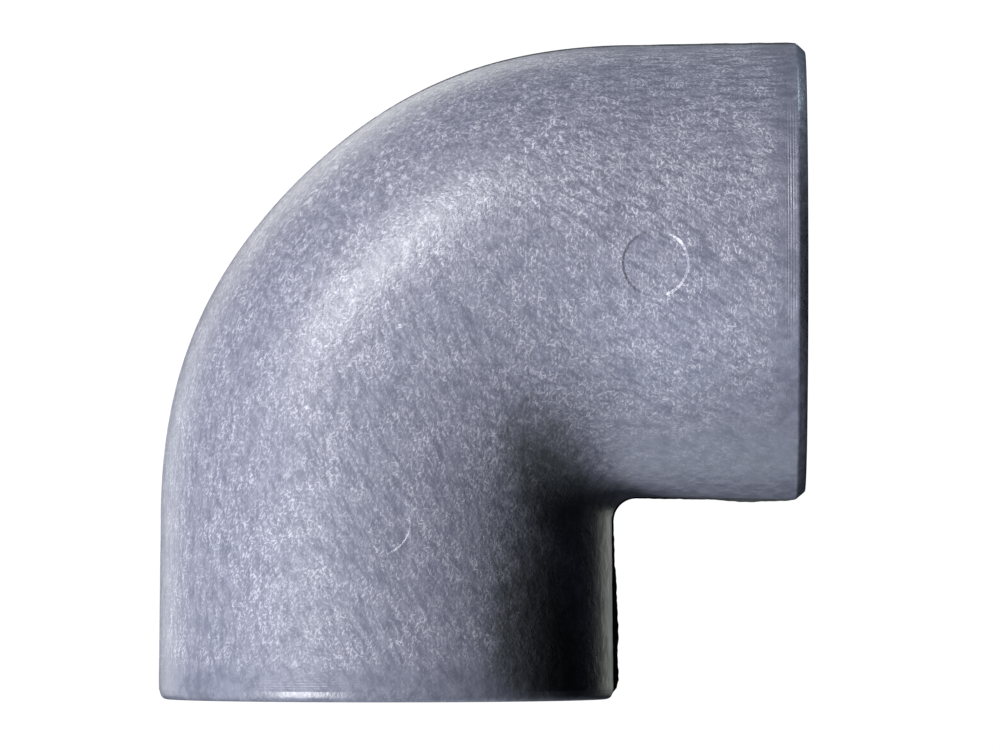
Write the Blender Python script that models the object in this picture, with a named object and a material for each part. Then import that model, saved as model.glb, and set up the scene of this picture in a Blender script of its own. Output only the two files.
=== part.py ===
"""Push to connect elbow for 15 mm tube, as an assembly.

One moulded elbow body holds the same gripping and sealing cartridge in both of
its ports. The side port points along +X and the base port along -Z. The origin
is the centre of the bounding box's underside, so the elbow stands on the flat
rim of its base port. Lengths are in metres.
"""

import math

import bmesh
import bpy
from mathutils import Matrix, Vector

# ---- Driving dimensions -------------------------------------------------------

TUBE_R = 0.0075            # the fitting takes 15 mm tube
LEG_R = 0.0135             # body radius where the legs leave the bend
MOUTH_R = 0.01362          # body radius at a mouth: the mould's draft
SIDE_LEG = 0.0251          # elbow centre to the side port's rim
BASE_LEG = 0.0256          # elbow centre to the base port's rim
CROTCH_R = 0.0014          # fillet in the inner corner, between the legs
SHOULDER_FULLNESS = 0.00018  # how far the bend swells beyond a true quarter turn
CROWN_FULLNESS = 0.00024
RIM_ROUND = 0.0005         # rounding of the rim's outer edge

SEGMENTS = 40              # facets round every turned piece
GAP = 0.0001               # clearance between neighbouring pieces
RELEASE_TRAVEL = 0.0016    # how far a release collar can be pushed in

# Depths below a mouth's rim, from the outside in.
COLLAR_FACE = 0.0002
CLIP_GROOVE = (0.0010, 0.0019)
CAP_SHOULDER = 0.0020
COLLAR_FLANGE = (0.0012, 0.0046)
CAP_SEAT_END = 0.0063
GRIP_RING_START = 0.0073
PROTECTOR_START = 0.0078
SEAL_BORE_START = 0.01045
SEAL_BORE_END = 0.01505
TUBE_STOP = 0.0165

# Radii inside a port.
CLIP_GROOVE_R = 0.0121
CAP_SEAT_R = 0.01145
GRIP_BORE_R = 0.0101
SEAL_BORE_R = 0.0091
PILOT_R = 0.00765
WATERWAY_R = 0.0056
CHAMBER_R = 0.0059         # ball shaped space where the two waterways meet
SEAL_SECTION_R = 0.00095   # half the thickness of an O-ring
SPACER_THICKNESS = 0.0006
TOOTH_COUNT = 20
TOOTH_TIP_R = 0.0073
TOOTH_TIP_DEPTH = 0.0089
GRIP_STEEL = 0.0004        # thickness of the grab ring's sheet

CENTRE = Vector(((MOUTH_R - SIDE_LEG) / 2, 0.0, BASE_LEG))


# ---- Scene, materials and helpers ----------------------------------------------

def clear_scene():
    for obj in list(bpy.data.objects):
        bpy.data.objects.remove(obj, do_unlink=True)


def new_collection(name):
    collection = bpy.data.collections.new(name)
    bpy.context.scene.collection.children.link(collection)
    return collection


def make_material(name, colour, roughness, metallic=0.0):
    material = bpy.data.materials.new(name)
    material.use_nodes = True
    shader = material.node_tree.nodes["Principled BSDF"]
    shader.inputs["Base Color"].default_value = (*colour, 1.0)
    shader.inputs["Roughness"].default_value = roughness
    shader.inputs["Metallic"].default_value = metallic
    material.diffuse_color = (*colour, 1.0)
    return material


def make_materials():
    return {
        "body": make_material("glass_filled_polymer", (0.25, 0.27, 0.34), 0.5),
        "cap": make_material("dark_polymer", (0.035, 0.037, 0.042), 0.45),
        "collar": make_material("grey_acetal", (0.09, 0.095, 0.11), 0.35),
        "rubber": make_material("seal_rubber", (0.012, 0.012, 0.013), 0.6),
        "spacer": make_material("white_acetal", (0.75, 0.74, 0.70), 0.4),
        "steel": make_material("stainless_steel", (0.60, 0.60, 0.58), 0.28, 1.0),
        "brass": make_material("brass", (0.72, 0.52, 0.22), 0.3, 1.0),
    }


def add_object(name, mesh, collection, material=None, matrix=None):
    obj = bpy.data.objects.new(name, mesh)
    collection.objects.link(obj)
    if material:
        mesh.materials.append(material)
    if matrix:
        obj.matrix_world = matrix
    return obj


def turned_mesh(name, profile, segments=SEGMENTS):
    """A closed ring or plug: the (radius, height) profile turned about Z, outer side from top to bottom."""
    mesh = bpy.data.meshes.new(name)
    shape = bmesh.new()
    points = [shape.verts.new((radius, 0.0, height)) for radius, height in profile]
    for start, end in zip(points, points[1:]):
        shape.edges.new((start, end))
    if profile[0][0] > 0:
        shape.edges.new((points[-1], points[0]))
    bmesh.ops.spin(
        shape,
        geom=shape.verts[:] + shape.edges[:],
        cent=(0, 0, 0),
        axis=(0, 0, 1),
        angle=math.tau,
        steps=segments,
        use_merge=True,
    )
    bmesh.ops.remove_doubles(shape, verts=shape.verts[:], dist=1e-6)
    bmesh.ops.recalc_face_normals(shape, faces=shape.faces[:])
    shape.to_mesh(mesh)
    shape.free()
    mesh.shade_smooth()
    mesh.set_sharp_from_angle(angle=math.radians(35))
    return mesh


def below_rim(profile):
    """Depths below the rim, which point into the port, as heights."""
    return [(radius, -depth) for radius, depth in profile]


def subtract(target, cutters):
    for cutter in cutters:
        modifier = target.modifiers.new("cut_" + cutter.name, "BOOLEAN")
        modifier.operation = "DIFFERENCE"
        modifier.object = cutter


def hide_cutter(obj):
    obj.hide_render = True
    obj.display_type = "WIRE"


# ---- The moulded body ----------------------------------------------------------

def ring_section(centre, out_direction, half_width, half_thickness):
    """A round section: half_width along out_direction and half_thickness along Y."""
    across = Vector(out_direction)
    return [
        centre
        + across * (half_width * math.cos(angle))
        + Vector((0, half_thickness * math.sin(angle), 0))
        for angle in (math.tau * k / SEGMENTS for k in range(SEGMENTS))
    ]


def leg_sections(direction, out_direction, length):
    """Sections of one leg from the bend outwards, ending in the rounded rim."""
    bend_end = LEG_R + CROTCH_R
    steps = [(bend_end, LEG_R), (length - RIM_ROUND, MOUTH_R)]
    for turn in (30, 60, 90):
        angle = math.radians(turn)
        steps.append(
            (
                length - RIM_ROUND * (1 - math.sin(angle)),
                MOUTH_R - RIM_ROUND * (1 - math.cos(angle)),
            )
        )
    along = Vector(direction)
    return [
        ring_section(CENTRE + along * distance, out_direction, radius, radius)
        for distance, radius in steps
    ]


def bend_sections(count=16):
    """Sections turning about the inner corner, from the base leg round to the side leg."""
    pivot = CENTRE + Vector((LEG_R + CROTCH_R, 0, -LEG_R - CROTCH_R))
    sections = []
    for k in range(1, count):
        turn = math.radians(90) * k / count
        outer = (
            CROTCH_R
            + 2 * LEG_R
            + CROWN_FULLNESS * math.sin(2 * turn) ** 2
            + SHOULDER_FULLNESS * math.sin(4 * turn) ** 2
        )
        outward = Vector((-math.cos(turn), 0, math.sin(turn)))
        middle = pivot + outward * (CROTCH_R + outer) / 2
        sections.append(ring_section(middle, outward, (outer - CROTCH_R) / 2, LEG_R))
    return sections


def body_mesh():
    """The solid elbow as a loft, because its sections change along the bend."""
    base_leg = leg_sections((0, 0, -1), (-1, 0, 0), BASE_LEG)
    side_leg = leg_sections((1, 0, 0), (0, 0, 1), SIDE_LEG)
    sections = base_leg[::-1] + bend_sections() + side_leg
    mesh = bpy.data.meshes.new("elbow_body")
    shape = bmesh.new()
    rings = [[shape.verts.new(point) for point in section] for section in sections]
    for lower, upper in zip(rings, rings[1:]):
        for k in range(SEGMENTS):
            after = (k + 1) % SEGMENTS
            shape.faces.new((lower[k], lower[after], upper[after], upper[k]))
    shape.faces.new(rings[0])
    shape.faces.new(rings[-1][::-1])
    bmesh.ops.recalc_face_normals(shape, faces=shape.faces[:])
    shape.to_mesh(mesh)
    shape.free()
    mesh.shade_smooth()
    mesh.set_sharp_from_angle(angle=math.radians(35))
    return mesh


def port_cavity_profile(leg):
    """The stepped bore that the cartridge stands in, from outside the rim to the elbow's centre."""
    beyond = -0.002
    return below_rim(
        [
            (0.0, beyond),
            (CAP_SEAT_R, beyond),
            (CAP_SEAT_R, CLIP_GROOVE[0]),
            (CLIP_GROOVE_R, CLIP_GROOVE[0]),
            (CLIP_GROOVE_R, CLIP_GROOVE[1]),
            (CAP_SEAT_R, CLIP_GROOVE[1]),
            (CAP_SEAT_R, CAP_SEAT_END),
            (GRIP_BORE_R, CAP_SEAT_END),
            (GRIP_BORE_R, SEAL_BORE_START),
            (SEAL_BORE_R, SEAL_BORE_START),
            (SEAL_BORE_R, SEAL_BORE_END),
            (PILOT_R, SEAL_BORE_END),
            (PILOT_R, TUBE_STOP),
            (WATERWAY_R, TUBE_STOP),
            (WATERWAY_R, leg),
            (0.0, leg),
        ]
    )


def make_chamber_cutter(collection):
    mesh = bpy.data.meshes.new("mixing_chamber")
    shape = bmesh.new()
    bmesh.ops.create_uvsphere(shape, u_segments=24, v_segments=12, radius=CHAMBER_R)
    bmesh.ops.rotate(shape, verts=shape.verts[:], matrix=Matrix.Rotation(math.radians(45), 3, "Y"))
    shape.to_mesh(mesh)
    shape.free()
    return add_object("mixing_chamber", mesh, collection, matrix=Matrix.Translation(CENTRE))


def make_body(parts, cutters, materials, ports):
    body = add_object("elbow_body", body_mesh(), parts, materials["body"])
    cavities = [
        add_object(
            port["name"] + "_cavity",
            turned_mesh(port["name"] + "_cavity", port_cavity_profile(port["leg"])),
            cutters,
            matrix=port["matrix"],
        )
        for port in ports
    ]
    cavities.append(make_chamber_cutter(cutters))
    subtract(body, cavities)
    for cutter in cavities:
        hide_cutter(cutter)


# ---- The cartridge in each port --------------------------------------------------

def o_ring_profile(middle_depth, sides=10):
    """A round section that touches neither its bore nor its neighbours."""
    middle_radius = SEAL_BORE_R - GAP / 2 - SEAL_SECTION_R
    return below_rim(
        [
            (
                middle_radius + SEAL_SECTION_R * math.cos(math.tau * k / sides),
                middle_depth + SEAL_SECTION_R * math.sin(math.tau * k / sides),
            )
            for k in range(sides)
        ]
    )


def ring_profile(inner, outer, start, end, chamfer=0.00012):
    """A plain ring between two depths, with its outer corners broken."""
    return below_rim(
        [
            (inner, start),
            (outer - chamfer, start),
            (outer, start + chamfer),
            (outer, end - chamfer),
            (outer - chamfer, end),
            (inner, end),
        ]
    )


def cap_profile():
    """Retaining cap: a stepped bush whose inward lip at the mouth keeps the collar in."""
    lip_r, chamber_r = 0.0089, 0.00965
    nose_r = 0.0104
    outer = CAP_SEAT_R - GAP
    return below_rim(
        [
            (lip_r, 0.0003),
            (lip_r + 0.0002, 0.0001),
            (nose_r - 0.0002, 0.0001),
            (nose_r, 0.0003),
            (nose_r, CAP_SHOULDER),
            (outer, CAP_SHOULDER),
            (outer, CAP_SEAT_END - GAP),
            (chamber_r, CAP_SEAT_END - GAP),
            (chamber_r, COLLAR_FLANGE[0] - GAP),
            (lip_r, COLLAR_FLANGE[0] - GAP),
        ]
    )


def collar_profile():
    """Release collar: a flanged sleeve whose tapered nose opens the teeth, with a groove for the wiper."""
    spout_r, flange_r, sleeve_r = 0.00875, 0.0095, 0.0086
    nose_tip_r, nose_depth = 0.0079, 0.0072
    bore_r = TUBE_R + 0.00015
    groove_r = 0.00825
    return below_rim(
        [
            (bore_r + 0.0004, COLLAR_FACE),
            (spout_r - 0.0002, COLLAR_FACE),
            (spout_r, COLLAR_FACE + 0.0002),
            (spout_r, COLLAR_FLANGE[0]),
            (flange_r, COLLAR_FLANGE[0]),
            (flange_r, COLLAR_FLANGE[1]),
            (sleeve_r, COLLAR_FLANGE[1]),
            (sleeve_r, nose_depth - 0.0010),
            (nose_tip_r, nose_depth),
            (bore_r, nose_depth),
            (bore_r, 0.0031),
            (groove_r, 0.0031),
            (groove_r, 0.0020),
            (bore_r, 0.0020),
            (bore_r, COLLAR_FACE + 0.0004),
        ]
    )


def wiper_profile():
    """Dust wiper: a rubber ring in the collar's groove, with a lip that leans on the tube."""
    return below_rim(
        [
            (0.0077, 0.0021),
            (0.00815, 0.0021),
            (0.00815, 0.0030),
            (0.0077, 0.0030),
            (0.0074, 0.0027),
        ]
    )


def protector_profile():
    """Seal protector: its cone leaves room for the teeth and keeps them off the O-ring."""
    bore_r, outer = TUBE_R + 0.0002, GRIP_BORE_R - GAP
    return below_rim(
        [
            (0.0093, PROTECTOR_START),
            (outer, PROTECTOR_START),
            (outer, SEAL_BORE_START - GAP),
            (bore_r, SEAL_BORE_START - GAP),
            (bore_r, 0.0099),
        ]
    )


def circlip_mesh(name):
    """A flat spring ring with a gap and two eyes for the pliers, lying in the body's groove."""
    inner, outer = 0.0106, CLIP_GROOVE_R - GAP
    opening = math.radians(28)
    steps = 30
    top, bottom = -CLIP_GROOVE[0] - GAP / 2, -CLIP_GROOVE[1] + GAP / 2
    angles = [opening / 2 + (math.tau - opening) * k / steps for k in range(steps + 1)]
    mesh = bpy.data.meshes.new(name)
    shape = bmesh.new()
    rings = []
    for angle in angles:
        corners = ((inner, top), (outer, top), (outer, bottom), (inner, bottom))
        rings.append(
            [
                shape.verts.new((radius * math.cos(angle), radius * math.sin(angle), height))
                for radius, height in corners
            ]
        )
    for start, end in zip(rings, rings[1:]):
        for k in range(4):
            shape.faces.new((start[k], start[(k + 1) % 4], end[(k + 1) % 4], end[k]))
    shape.faces.new(rings[0][::-1])
    shape.faces.new(rings[-1])
    bmesh.ops.recalc_face_normals(shape, faces=shape.faces[:])
    shape.to_mesh(mesh)
    shape.free()
    return mesh


def grab_ring_mesh(name):
    """Stamped spring steel: a flat annulus with a crown of teeth bent inwards and down the port."""
    outer, root = GRIP_BORE_R - 0.00015, 0.0092
    root_depth = GRIP_RING_START + GRIP_STEEL / 2
    pitch = math.tau / TOOTH_COUNT
    # Across one pitch: the gap between teeth, then the tooth, as shares of the pitch.
    shares = (0.0, 0.18, 0.82)
    tip_shares = (0.30, 0.70)
    slope = Vector((root - TOOTH_TIP_R, TOOTH_TIP_DEPTH - root_depth))
    normal = Vector((slope.y, slope.x)).normalized() * GRIP_STEEL / 2
    mesh = bpy.data.meshes.new(name)
    shape = bmesh.new()

    def vertex(radius, angle, depth):
        return shape.verts.new((radius * math.cos(angle), radius * math.sin(angle), -depth))

    def face_pair(corners):
        """The mouth side of a patch, and its other side turned round."""
        shape.faces.new([corner[0] for corner in corners])
        shape.faces.new([corner[1] for corner in corners][::-1])

    def wall(start, end):
        shape.faces.new((start[1], end[1], end[0], start[0]))

    outer_edge, inner_edge = [], []
    for tooth in range(TOOTH_COUNT):
        for share in shares:
            angle = pitch * (tooth + share - 0.5)
            for radius, edge in ((outer, outer_edge), (root, inner_edge)):
                near = vertex(radius, angle, GRIP_RING_START)
                far = vertex(radius, angle, GRIP_RING_START + GRIP_STEEL)
                edge.append((near, far))
    count = len(outer_edge)
    for k in range(count):
        after = (k + 1) % count
        face_pair((inner_edge[k], outer_edge[k], outer_edge[after], inner_edge[after]))
        wall(outer_edge[k], outer_edge[after])
        if k % len(shares) != 1:
            wall(inner_edge[after], inner_edge[k])
    for tooth in range(TOOTH_COUNT):
        first = inner_edge[tooth * len(shares) + 1]
        second = inner_edge[tooth * len(shares) + 2]
        tips = []
        for share in tip_shares:
            angle = pitch * (tooth + share - 0.5)
            near = vertex(TOOTH_TIP_R - normal.x, angle, TOOTH_TIP_DEPTH - normal.y)
            far = vertex(TOOTH_TIP_R + normal.x, angle, TOOTH_TIP_DEPTH + normal.y)
            tips.append((near, far))
        face_pair((tips[0], first, second, tips[1]))
        wall(first, tips[0])
        wall(tips[0], tips[1])
        wall(tips[1], second)
    bmesh.ops.recalc_face_normals(shape, faces=shape.faces[:])
    shape.to_mesh(mesh)
    shape.free()
    return mesh


def make_cartridge(port, parts, materials):
    """Every piece in one port, from the innermost seal out to the release collar."""
    inner_seal = SEAL_BORE_END - GAP / 2 - SEAL_SECTION_R
    spacer_end = inner_seal - SEAL_SECTION_R - GAP / 2
    spacer_start = spacer_end - SPACER_THICKNESS
    outer_seal = spacer_start - GAP / 2 - SEAL_SECTION_R
    seal_outer_r = SEAL_BORE_R - GAP
    grip_seat = ring_profile(0.00875, GRIP_BORE_R - GAP, CAP_SEAT_END + GAP, GRIP_RING_START - GAP)
    turned = (
        ("inner_seal", o_ring_profile(inner_seal), "rubber"),
        ("seal_spacer", ring_profile(TUBE_R + 0.0002, seal_outer_r, spacer_start, spacer_end), "spacer"),
        ("outer_seal", o_ring_profile(outer_seal), "rubber"),
        ("seal_protector", protector_profile(), "spacer"),
        ("grip_seat", grip_seat, "brass"),
        ("retaining_cap", cap_profile(), "cap"),
        ("release_collar", collar_profile(), "collar"),
        ("dust_wiper", wiper_profile(), "rubber"),
    )
    for name, profile, material in turned:
        node = port["name"] + "_" + name
        add_object(node, turned_mesh(node, profile), parts, materials[material], port["matrix"])
    for name, maker in (("grab_ring", grab_ring_mesh), ("cap_circlip", circlip_mesh)):
        node = port["name"] + "_" + name
        add_object(node, maker(node), parts, materials["steel"], port["matrix"])


# ---- Assembly ----------------------------------------------------------------------

def port_matrix(direction, leg):
    """The port's frame: its origin is the centre of the rim, and +Z points out of the mouth."""
    turn = Vector((0, 0, 1)).rotation_difference(Vector(direction)).to_matrix().to_4x4()
    return Matrix.Translation(CENTRE + Vector(direction) * leg) @ turn


def main():
    clear_scene()
    parts = new_collection("push_to_connect_elbow")
    cutters = new_collection("cutters")
    materials = make_materials()
    ports = [
        {"name": "side", "leg": SIDE_LEG, "matrix": port_matrix((1, 0, 0), SIDE_LEG)},
        {
            "name": "base",
            "leg": BASE_LEG,
            "matrix": Matrix.Translation(CENTRE - Vector((0, 0, BASE_LEG)))
            @ Matrix.Rotation(math.pi, 4, "X"),
        },
    ]
    make_body(parts, cutters, materials, ports)
    for port in ports:
        make_cartridge(port, parts, materials)


main()
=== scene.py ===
"""Looks of the push to connect elbow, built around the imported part. Lengths are in metres."""

import math

import bmesh
import bpy
from mathutils import Matrix, Quaternion, Vector, noise


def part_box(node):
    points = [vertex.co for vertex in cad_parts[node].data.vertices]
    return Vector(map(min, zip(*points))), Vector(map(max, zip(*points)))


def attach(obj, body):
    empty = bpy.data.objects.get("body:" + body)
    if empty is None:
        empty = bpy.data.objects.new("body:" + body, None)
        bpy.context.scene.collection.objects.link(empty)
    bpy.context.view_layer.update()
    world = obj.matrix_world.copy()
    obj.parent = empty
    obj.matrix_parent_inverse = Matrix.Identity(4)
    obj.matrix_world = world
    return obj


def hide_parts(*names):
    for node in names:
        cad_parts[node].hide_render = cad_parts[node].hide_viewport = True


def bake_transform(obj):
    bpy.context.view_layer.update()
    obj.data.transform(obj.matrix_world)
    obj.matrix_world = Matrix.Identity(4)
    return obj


# ---- Shape of the moulded body ---------------------------------------------------

LEG_R = 0.0135              # body radius where a leg leaves the bend
MOUTH_R = 0.01362           # body radius at a mouth
CROTCH_R = 0.00145          # fillet in the inner corner
CROWN_FULLNESS = 0.00024    # how far the bend swells beyond a true quarter turn
SHOULDER_FULLNESS = 0.00018  # and how much further either side of its middle
# Edge of each rim, a chamfer and a fuller rounding: (distance from the rim, drop in radius).
RIM_ROUND = 0.00062
RIM_EDGES = {
    "side": (
        (0.00062, 0.0), (0.00057, 0.000008), (0.00052, 0.000028), (0.00048, 0.000054),
        (0.00044, 0.000084), (0.00028, 0.000210), (0.00024, 0.000243), (0.00020, 0.000277),
        (0.00006, 0.000398), (0.00003, 0.000433), (0.00001, 0.000475), (0.0, 0.000520),
    ),
    "base": (
        (0.00062, 0.0), (0.00059, 0.000005), (0.00054, 0.000016), (0.00046, 0.000036),
        (0.00038, 0.000057), (0.00030, 0.000081), (0.00024, 0.000103), (0.00018, 0.000134),
        (0.00012, 0.000178), (0.00007, 0.000230), (0.00003, 0.000300), (0.0, 0.000400),
    ),
}
BEND_END = LEG_R + CROTCH_R
RING_SEGMENTS = 216         # even facets round the body, before the seam's own
SEAM_OFFSETS = (0.10, 0.22, 0.32, 0.60, 1.00)  # degrees either side of the mould's parting plane
SEAM_CREST = 0.22           # half width of the seam's crest, in degrees
OUTER_SEAM_FOOT = 0.60      # where the outer seam meets the surface, in degrees
INNER_SEAM_FOOT = 0.32
TOOL_LINES = 5              # turning marks that the mould leaves near each rim
TOOL_LINE_PITCH = 0.00016
TOOL_LINE_DEPTHS = {"side": 0.000018, "base": 0.000005}
TOOL_LINES_CLEAREST = -68   # where round the leg they show best, in degrees
TOOL_LINE_MARGIN = 0.00005  # from the rim's rounding to the first line
TOOL_LINE_TRACE = 0.1       # share of the depth that is left elsewhere round the leg
LEG_STEPS = 64              # rings along a leg, before the ones at the tool lines
TOOL_LINE_STEPS = 54
BEND_STEPS = 96
CHAMBER_STEPS = 16
SEAM_TEAR_STEP = 0.0009     # length of the flash's uneven bits

# Height of the seam along each leg: (distance from the elbow's centre, height).
INNER_SEAMS = {
    "side": (
        (0.0149, 0.00010), (0.0196, 0.00010), (0.0206, 0.00016), (0.0215, 0.00020),
        (0.0230, 0.00020), (0.0241, 0.00012), (0.0247, 0.0),
    ),
    "base": (
        (0.0149, 0.00013), (0.0172, 0.00015), (0.0190, 0.00025), (0.0206, 0.00026),
        (0.0227, 0.00032), (0.0245, 0.00032), (0.0250, 0.00016), (0.0253, 0.0),
    ),
}
OUTER_SEAMS = {
    "side": ((0.0149, 0.00009), (0.0190, 0.00012), (0.0240, 0.00013), (0.0246, 0.00008)),
    "base": ((0.0149, 0.00003), (0.0245, 0.00003), (0.0252, 0.0)),
}

# Ejector pin marks, from the elbow's centre: (x, z).
EJECTOR_MARKS = {"side": (0.01604, 0.00043), "base": (-0.00048, -0.0149)}
EJECTOR_R = 0.00201
EJECTOR_WALLS = {"side": 0.00016, "base": 0.00008}  # width of each mark's sloping wall
EJECTOR_DEPTHS = {"side": 0.00008, "base": 0.000022}
EJECTOR_LEANS = {"side": 0.1, "base": 0.95}  # how much deeper the lower right is, as a share
EJECTOR_LEAN_TURN = -48     # direction of the deepest place, in degrees
EJECTOR_CUTTER_FRONT = 0.016  # how far in front of the axis the cutter ends
EJECTOR_SEGMENTS = 96
EJECTOR_CIRCLES = 6

# Stepped bore of each port: (radius, depth below the rim).
MOUTH_CHAMFER = 0.0002
BORE_STEPS = (
    (0.01145, 0.0010), (0.0121, 0.0010), (0.0121, 0.0019), (0.01145, 0.0019),
    (0.01145, 0.0063), (0.0101, 0.0063), (0.0101, 0.01045), (0.0091, 0.01045),
    (0.0091, 0.01505), (0.00765, 0.01505), (0.00765, 0.0165), (0.0056, 0.0165),
)
WATERWAY_R = 0.0056

# ---- Cartridge ---------------------------------------------------------------------

TURNED_SEGMENTS = 144
FILLET_STEPS = 4
# Turned pieces: (radius, depth below the rim, fillet), outer side first.
CAP_PROFILE = (
    (0.0089, 0.0001, 0.00012), (0.0104, 0.0001, 0.00022), (0.0104, 0.0020, 0.00008),
    (0.01135, 0.0020, 0.0001), (0.01135, 0.0062, 0.0001), (0.00965, 0.0062, 0.00006),
    (0.00965, 0.0011, 0.00006), (0.0089, 0.0011, 0.0001),
)
COLLAR_PROFILE = (
    (0.00765, 0.0002, 0.00035), (0.00875, 0.0002, 0.00025), (0.00875, 0.0012, 0.00006),
    (0.0095, 0.0012, 0.00012), (0.0095, 0.0046, 0.0001), (0.0086, 0.0046, 0.0001),
    (0.0086, 0.0062, 0.0003), (0.0079, 0.0072, 0.0001), (0.00765, 0.0072, 0.00006),
    (0.00765, 0.0031, 0.00004), (0.00825, 0.0031, 0.00004), (0.00825, 0.0020, 0.00004),
    (0.00765, 0.0020, 0.00004),
)
WIPER_PROFILE = (
    (0.0077, 0.0021, 0.00006), (0.00815, 0.0021, 0.00008), (0.00815, 0.0030, 0.00008),
    (0.0077, 0.0030, 0.00006), (0.0074, 0.0027, 0.00006),
)
SEAT_PROFILE = (
    (0.00875, 0.0064, 0.00008), (0.0100, 0.0064, 0.00012), (0.0100, 0.0072, 0.00012),
    (0.00875, 0.0072, 0.00008),
)
PROTECTOR_PROFILE = (
    (0.0093, 0.0078, 0.00005), (0.0100, 0.0078, 0.0001), (0.0100, 0.01035, 0.0001),
    (0.0077, 0.01035, 0.00006), (0.0077, 0.0099, 0.00015),
)
SPACER_PROFILE = (
    (0.0077, 0.01245, 0.00008), (0.0090, 0.01245, 0.0001), (0.0090, 0.01305, 0.0001),
    (0.0077, 0.01305, 0.00008),
)
SEAL_MIDDLE_R = 0.0081
SEAL_SECTION_R = 0.00095
SEAL_SIDES = 28
OUTER_SEAL_DEPTH = 0.01145
INNER_SEAL_DEPTH = 0.01405
GRAB_OUTER_R = 0.00995
GRAB_ROOT_R = 0.0092
GRAB_DEPTH = 0.0075
TOOTH_TIP_R = 0.0073
TOOTH_TIP_DEPTH = 0.0089
TOOTH_COUNT = 20
# A tooth's half width, as a share of the pitch, where its slot ends and at its tip.
TOOTH_WAIST = 0.33
TOOTH_TIP = 0.22
TOOTH_SLOT_END = 0.22       # how far down the tooth the slot's round end reaches, as a share
TOOTH_BOW = 0.10            # how far a tooth bows from a straight line, as a share of its drop
STEEL_THICKNESS = 0.0004
STEEL_EDGE = 0.00003
CIRCLIP_INNER_R = 0.0106
CIRCLIP_OUTER_R = 0.0120
CIRCLIP_DEPTHS = (0.00105, 0.00185)
CIRCLIP_EDGE = 0.00006
CIRCLIP_OPENING = 13        # half the opening, in degrees
CIRCLIP_EYE_TURN = 17.6     # from the opening's middle to each eye, in degrees
CIRCLIP_EYE_R = 0.00036
CIRCLIP_SLIMMING = 0.00045  # how much narrower the ring gets away from its eyes
CIRCLIP_STEPS = 120
CIRCLIP_EYE_STEPS = 32

# ---- Surfaces ----------------------------------------------------------------------
# Colours are linear; noise scales are in cells per metre.

SMOOTH_EDGE_ANGLE = 38      # edges sharper than this stay sharp, in degrees
BODY_EDGE_ANGLE = 24
NYLON_IOR = 1.52
NYLON_DARK = (0.119, 0.127, 0.178, 1)
NYLON_LIGHT = (0.175, 0.184, 0.248, 1)
NYLON_ROUGHNESS = (0.35, 0.41)
NYLON_BUMP = 0.000019
STREAK_DARK = (0.092, 0.100, 0.149, 1)
STREAK_LIGHT = (0.199, 0.207, 0.274, 1)
STREAK_SHARE = 0.6
FIBRE_COLOUR = (0.53, 0.54, 0.62, 1)
FIBRE_SHARE = 0.72
# Dark colour for painted shade along the parting line and in the inner corner, partly resin-rich
# there
RESIN_AND_SHADE_COLOUR = (0.026, 0.034, 0.028, 1)
# Layers of fibres: (cells per metre, half length, half width, seed).
FIBRE_LAYERS = (
    (2500.0, 0.00020, 0.000044, (0.0, 0.0, 0.0)),
    (3300.0, 0.00015, 0.000038, (0.31, 0.17, 0.05)),
)
FIBRE_ALIGNMENT = 0.45      # how strongly the fibres follow the flow
# How far below level the plastic flowed at the elbow's centre, in radians, and how much
# less with each metre to the right and up.
FLOW_TURN = 1.08
FLOW_TURN_RIGHT = 25.0
FLOW_TURN_UP = 36.0
STREAK_TURNS = (0.1, 0.6, 1.1, 1.6)  # directions that streaks of fibres are drawn in
STREAK_STEP = 0.5           # turn between two of these directions
STREAK_STRETCH = 0.22
STREAK_SCALE = 3000.0
SPECKLE_SCALE = 5600.0
MOTTLE_SCALE = 1300.0
CLUMP_SCALE = 520.0
# Dark patches by the inner corner: painted shade where the corner falls into shadow, partly also
# resin-rich where the melt's two
# streams met: middle from the elbow's centre (x, z), half length and half width, lean in degrees,
# strength.
WELD_AND_SHADE_PATCHES = (
    ((0.0101, -0.0129), (0.0074, 0.0036), 62, 0.72),
    ((0.0090, -0.0215), (0.0085, 0.0042), 85, 0.72),
)
WELD_CORE = 0.2             # how far out a patch is at its full strength, as a share
# Painted light: a paler patch on the side leg that brightens it where the lamps leave it too dark;
# middle from the elbow's centre (x, z), reach across and up.
PAINTED_LIGHT_PATCH = (0.0166, -0.0040)
PAINTED_LIGHT_REACH = (0.0118, 0.0082)
PAINTED_LIGHT_TINT = (1.26, 1.26, 1.26, 1)
FLASH_SHADE_HALF_WIDTHS = (0.00008, 0.00022)  # how far from the parting line its painted shade fades
FLASH_PAINTED_SHADE = (0.2, 0.8)  # painted shade on the crown, and stronger where the flash is thicker
RIM_CLEARNESS = (0.0012, 0.0028)  # from a rim, where fibres start to show and show fully
SHOWN_AT_RIMS = 0.25
RUBBER_DARK = (0.010, 0.010, 0.011, 1)
RUBBER_LIGHT = (0.022, 0.022, 0.024, 1)
# Plain moulded pieces: (name, dark, light, roughness).
PLASTICS = {
    "cap": ("cap_polymer", (0.050, 0.054, 0.062), (0.072, 0.076, 0.086), 0.42),
    "collar": ("collar_acetal", (0.190, 0.200, 0.222), (0.225, 0.236, 0.260), 0.34),
    "spacer": ("natural_acetal", (0.66, 0.65, 0.60), (0.76, 0.75, 0.71), 0.36),
}
PLASTIC_GRAIN = 2600.0
PLASTIC_BUMP = 0.000008
FINE_BUMP = 0.000004
# Metals: (name, dark, light, roughness, marks per metre of radius, marks per radian).
STEEL = ("_spring_steel", (0.50, 0.50, 0.49), (0.66, 0.66, 0.64), 0.26, 9000.0, 14.0)
BRASS = ("_turned_brass", (0.62, 0.43, 0.17), (0.78, 0.57, 0.26), 0.24, 14000.0, 5.0)

# ---- Camera and lights -------------------------------------------------------------

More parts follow.
